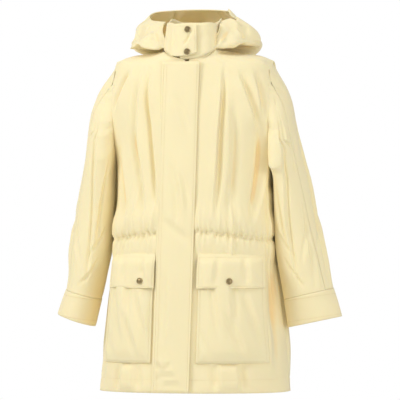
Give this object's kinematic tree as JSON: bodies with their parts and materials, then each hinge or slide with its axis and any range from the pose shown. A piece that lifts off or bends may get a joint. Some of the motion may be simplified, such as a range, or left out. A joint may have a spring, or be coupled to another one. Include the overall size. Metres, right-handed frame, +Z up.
{
  "type": "hooded rain parka",
  "caption": "Thigh-length hooded rain parka with a stand collar, snap tab, storm placket over a zip, drawn-in waist, flapped patch pockets and plain cuffs, hood down.",
  "frame": {"origin": "midway between the two points where the shoulder seams meet the neck", "axes": "+Z up, the front faces -Y, the wearer's left is +X"},
  "size_m": [0.6566, 0.3335, 0.8682],
  "materials": {
    "shell_cloth": "crisp matt rainproof poplin",
    "lining_cloth": "light plain-weave lining",
    "elastic_web": "ribbed elastic webbing",
    "zip_tape": "twill zip tape",
    "zip_teeth": "moulded teeth",
    "antique_brass": "antique brass, brushed",
    "label_cloth": "blank woven label"
  },
  "bodies": {
    "root": {"collar_stand": "shell_cloth", "front_right_panel": "shell_cloth", "back_right_panel": "shell_cloth", "front_left_panel": "shell_cloth", "back_left_panel": "shell_cloth", "hood_left_roll": "shell_cloth", "hood_right_roll": "shell_cloth", "front_right_lining": "lining_cloth", "back_right_lining": "lining_cloth", "front_left_lining": "lining_cloth", "back_left_lining": "lining_cloth", "pocket_right": "shell_cloth", "pocket_left": "shell_cloth", "waist_elastic": "elastic_web", "waist_casing": "lining_cloth", "front_right_facing": "shell_cloth", "front_left_facing": "shell_cloth", "collar_upper_snap_stud": "antique_brass", "collar_lower_snap_stud": "antique_brass", "pocket_right_snap_stud": "antique_brass", "pocket_left_snap_stud": "antique_brass", "zip_tape_right": "zip_tape", "zip_tape_left": "zip_tape", "hanger_loop": "shell_cloth", "neck_label": "label_cloth", "zip_teeth_right": "zip_teeth", "zip_top_stop_right": "antique_brass", "zip_teeth_left": "zip_teeth", "zip_top_stop_left": "antique_brass", "zip_retainer_box": "antique_brass"},
    "sleeve_right": {"sleeve_right_back": "shell_cloth", "sleeve_right_lining": "lining_cloth", "sleeve_right_front": "shell_cloth", "cuff_right": "shell_cloth"},
    "sleeve_left": {"sleeve_left_back": "shell_cloth", "sleeve_left_lining": "lining_cloth", "sleeve_left_front": "shell_cloth", "cuff_left": "shell_cloth"},
    "hood": {"hood_left_side": "shell_cloth", "hood_centre": "shell_cloth", "hood_right_side": "shell_cloth"},
    "placket": {"placket": "shell_cloth"},
    "collar_tab": {"collar_tab": "shell_cloth", "collar_upper_snap_cap": "antique_brass", "collar_upper_snap_socket": "antique_brass", "collar_lower_snap_cap": "antique_brass", "collar_lower_snap_socket": "antique_brass"},
    "zip_slider": {"zip_slider": "antique_brass"},
    "zip_pull": {"zip_pull": "antique_brass"},
    "flap_right": {"pocket_flap_right": "shell_cloth", "pocket_right_snap_cap": "antique_brass", "pocket_right_snap_socket": "antique_brass"},
    "flap_left": {"pocket_flap_left": "shell_cloth", "pocket_left_snap_cap": "antique_brass", "pocket_left_snap_socket": "antique_brass"}
  },
  "joints": [
    {"name": "sleeve_right_raise", "type": "hinge", "parent": "root", "child": "sleeve_right", "pos_m": [-0.1824, 0, -0.05], "axis": [0, 1, 0], "range_deg": [0, 60]},
    {"name": "sleeve_left_raise", "type": "hinge", "parent": "root", "child": "sleeve_left", "pos_m": [0.1824, 0, -0.05], "axis": [0, -1, 0], "range_deg": [0, 60]},
    {"name": "hood_raise", "type": "hinge", "parent": "root", "child": "hood", "pos_m": [0, -0.02, 0.03], "axis": [1, 0, 0], "range_deg": [0, 60]},
    {"name": "placket_open", "type": "hinge", "parent": "root", "child": "placket", "pos_m": [-0.06837, -0.14971, -0.77169], "axis": [-0.0148, -0.0808, -0.9966], "range_deg": [0, 95]},
    {"name": "collar_tab_open", "type": "hinge", "parent": "root", "child": "collar_tab", "pos_m": [-0.03895, -0.08586, -0.01754], "axis": [-0.0469, -0.1031, -0.9936], "range_deg": [0, 100]},
    {"name": "zip_slide", "type": "slide", "parent": "root", "child": "zip_slider", "axis": [-0.0161, -0.083, -0.9964], "range_m": [0, 0.685]},
    {"name": "zip_pull_swing", "type": "hinge", "parent": "zip_slider", "child": "zip_pull", "pos_m": [-0.00052, -0.0935, -0.0482], "axis": [0, -0.9965, 0.083], "range_deg": [-35, 35]},
    {"name": "pocket_flap_right_lift", "type": "hinge", "parent": "root", "child": "flap_right", "pos_m": [-0.12949, -0.09944, -0.4617], "axis": [-0.8604, 0.5096, 0], "range_deg": [0, 150]},
    {"name": "pocket_flap_left_lift", "type": "hinge", "parent": "root", "child": "flap_left", "pos_m": [0.11532, -0.10365, -0.46172], "axis": [-0.9022, -0.4314, 0], "range_deg": [0, 150]}
  ]
}
